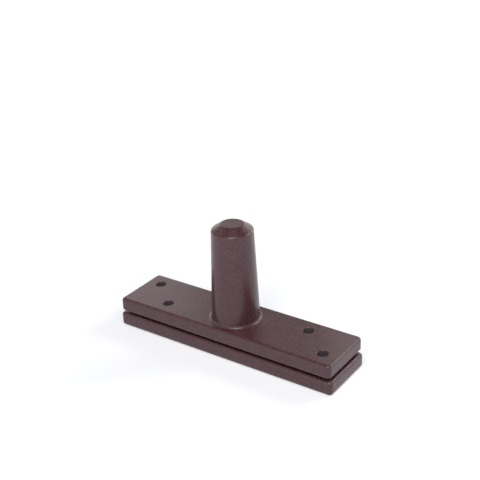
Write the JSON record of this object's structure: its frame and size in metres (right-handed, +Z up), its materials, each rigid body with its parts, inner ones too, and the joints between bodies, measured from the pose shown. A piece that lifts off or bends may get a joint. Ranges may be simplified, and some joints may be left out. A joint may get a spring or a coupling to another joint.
{
  "type": "door pivot",
  "caption": "Bottom pivot for a centre-hung door: a screwed floor bar, a matching door bar with a tapered socket post, and a spindle, bushes and thrust ball bearing inside.",
  "frame": {"origin": "middle of the floor plate's underside, on the pivot axis", "axes": "+X along the plates, +Y across them, +Z up along the pivot axis"},
  "size_m": [0.152, 0.0376, 0.0806],
  "materials": {
    "coated_plate": "satin dark brown powder coat on steel bar",
    "coated_casting": "satin dark brown powder coat on a steel casting",
    "ground_steel": "ground and hardened",
    "bearing_steel": "polished",
    "cage_brass": "machined",
    "bush_bronze": "rolled strip",
    "seal_rubber": "moulded"
  },
  "bodies": {
    "floor": {"floor_plate": "coated_plate", "spindle": "ground_steel", "thrust_washer_lower": "bearing_steel"},
    "door": {"door_plate": "coated_casting", "thrust_washer_upper": "bearing_steel", "dust_ring": "seal_rubber", "lower_bush": "bush_bronze", "upper_bush": "bush_bronze"},
    "bearing": {"ball_cage": "cage_brass", "thrust_ball_01": "bearing_steel", "thrust_ball_02": "bearing_steel", "thrust_ball_03": "bearing_steel", "thrust_ball_04": "bearing_steel", "thrust_ball_05": "bearing_steel", "thrust_ball_06": "bearing_steel", "thrust_ball_07": "bearing_steel", "thrust_ball_08": "bearing_steel", "thrust_ball_09": "bearing_steel", "thrust_ball_10": "bearing_steel", "thrust_ball_11": "bearing_steel", "thrust_ball_12": "bearing_steel"}
  },
  "joints": [
    {"name": "door_swing", "type": "hinge", "parent": "floor", "child": "door", "pos_m": [0, 0, 0.01685], "axis": [0, 0, 1], "continuous": true},
    {"name": "cage_roll", "type": "hinge", "parent": "floor", "child": "bearing", "pos_m": [0, 0, 0.01235], "axis": [0, 0, 1], "continuous": true}
  ],
  "couplings": [
    {"joint": "cage_roll", "follows": "door_swing", "ratio": 0.5}
  ]
}
